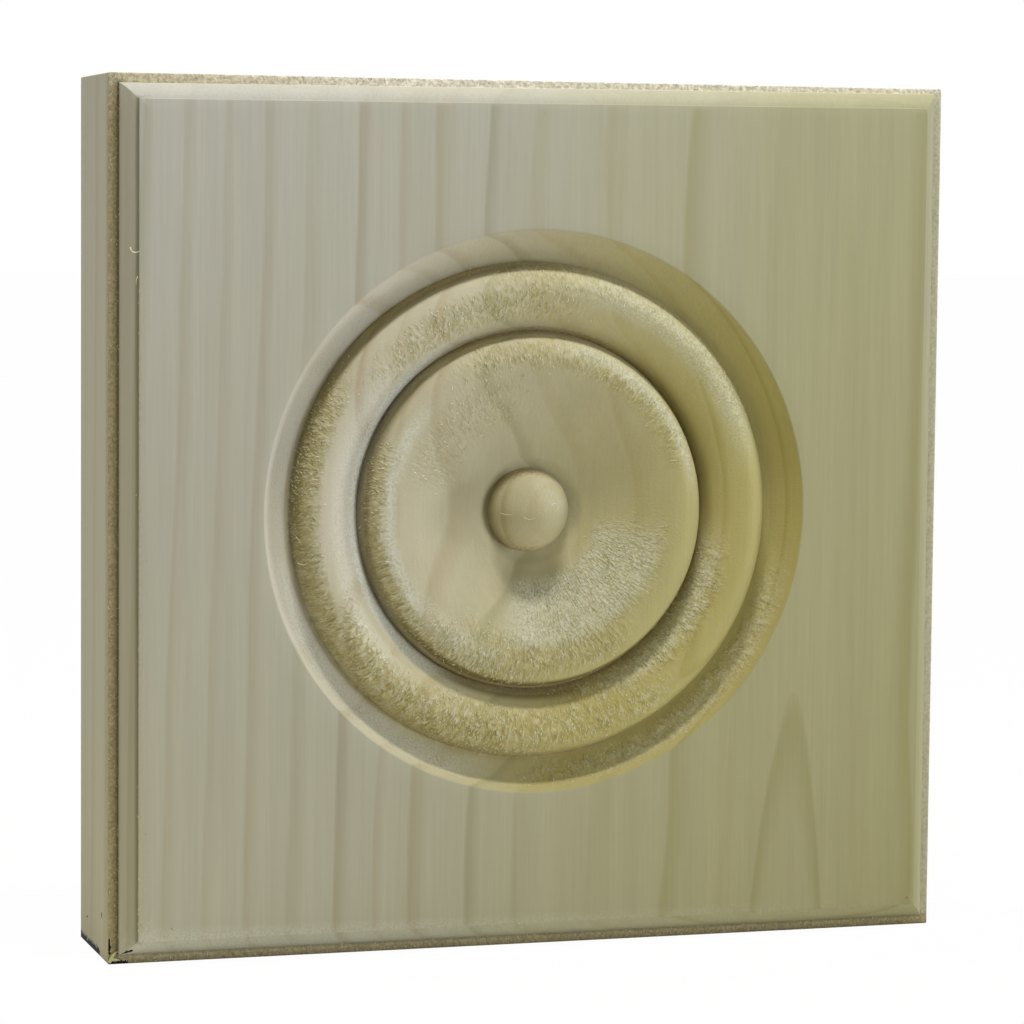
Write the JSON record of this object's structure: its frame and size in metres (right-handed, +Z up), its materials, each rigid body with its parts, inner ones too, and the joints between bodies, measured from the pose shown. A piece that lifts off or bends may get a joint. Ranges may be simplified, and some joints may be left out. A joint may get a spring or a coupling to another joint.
{
  "type": "rosette corner block",
  "caption": "Square wooden trim block with a turned bullseye rosette and a small moulding round its face, set where door casings or baseboards meet at a corner.",
  "frame": {"origin": "middle of the block's underside, halfway between the face and the back", "axes": "+X runs across the face to the right, +Y goes from the moulded face to the wall behind, +Z is up along the grain"},
  "size_m": [0.1142, 0.0222, 0.1143],
  "materials": {
    "raw_poplar": "bare, unsanded poplar straight from the cutter"
  },
  "bodies": {
    "root": {"rosette_block": "raw_poplar"}
  },
  "joints": []
}
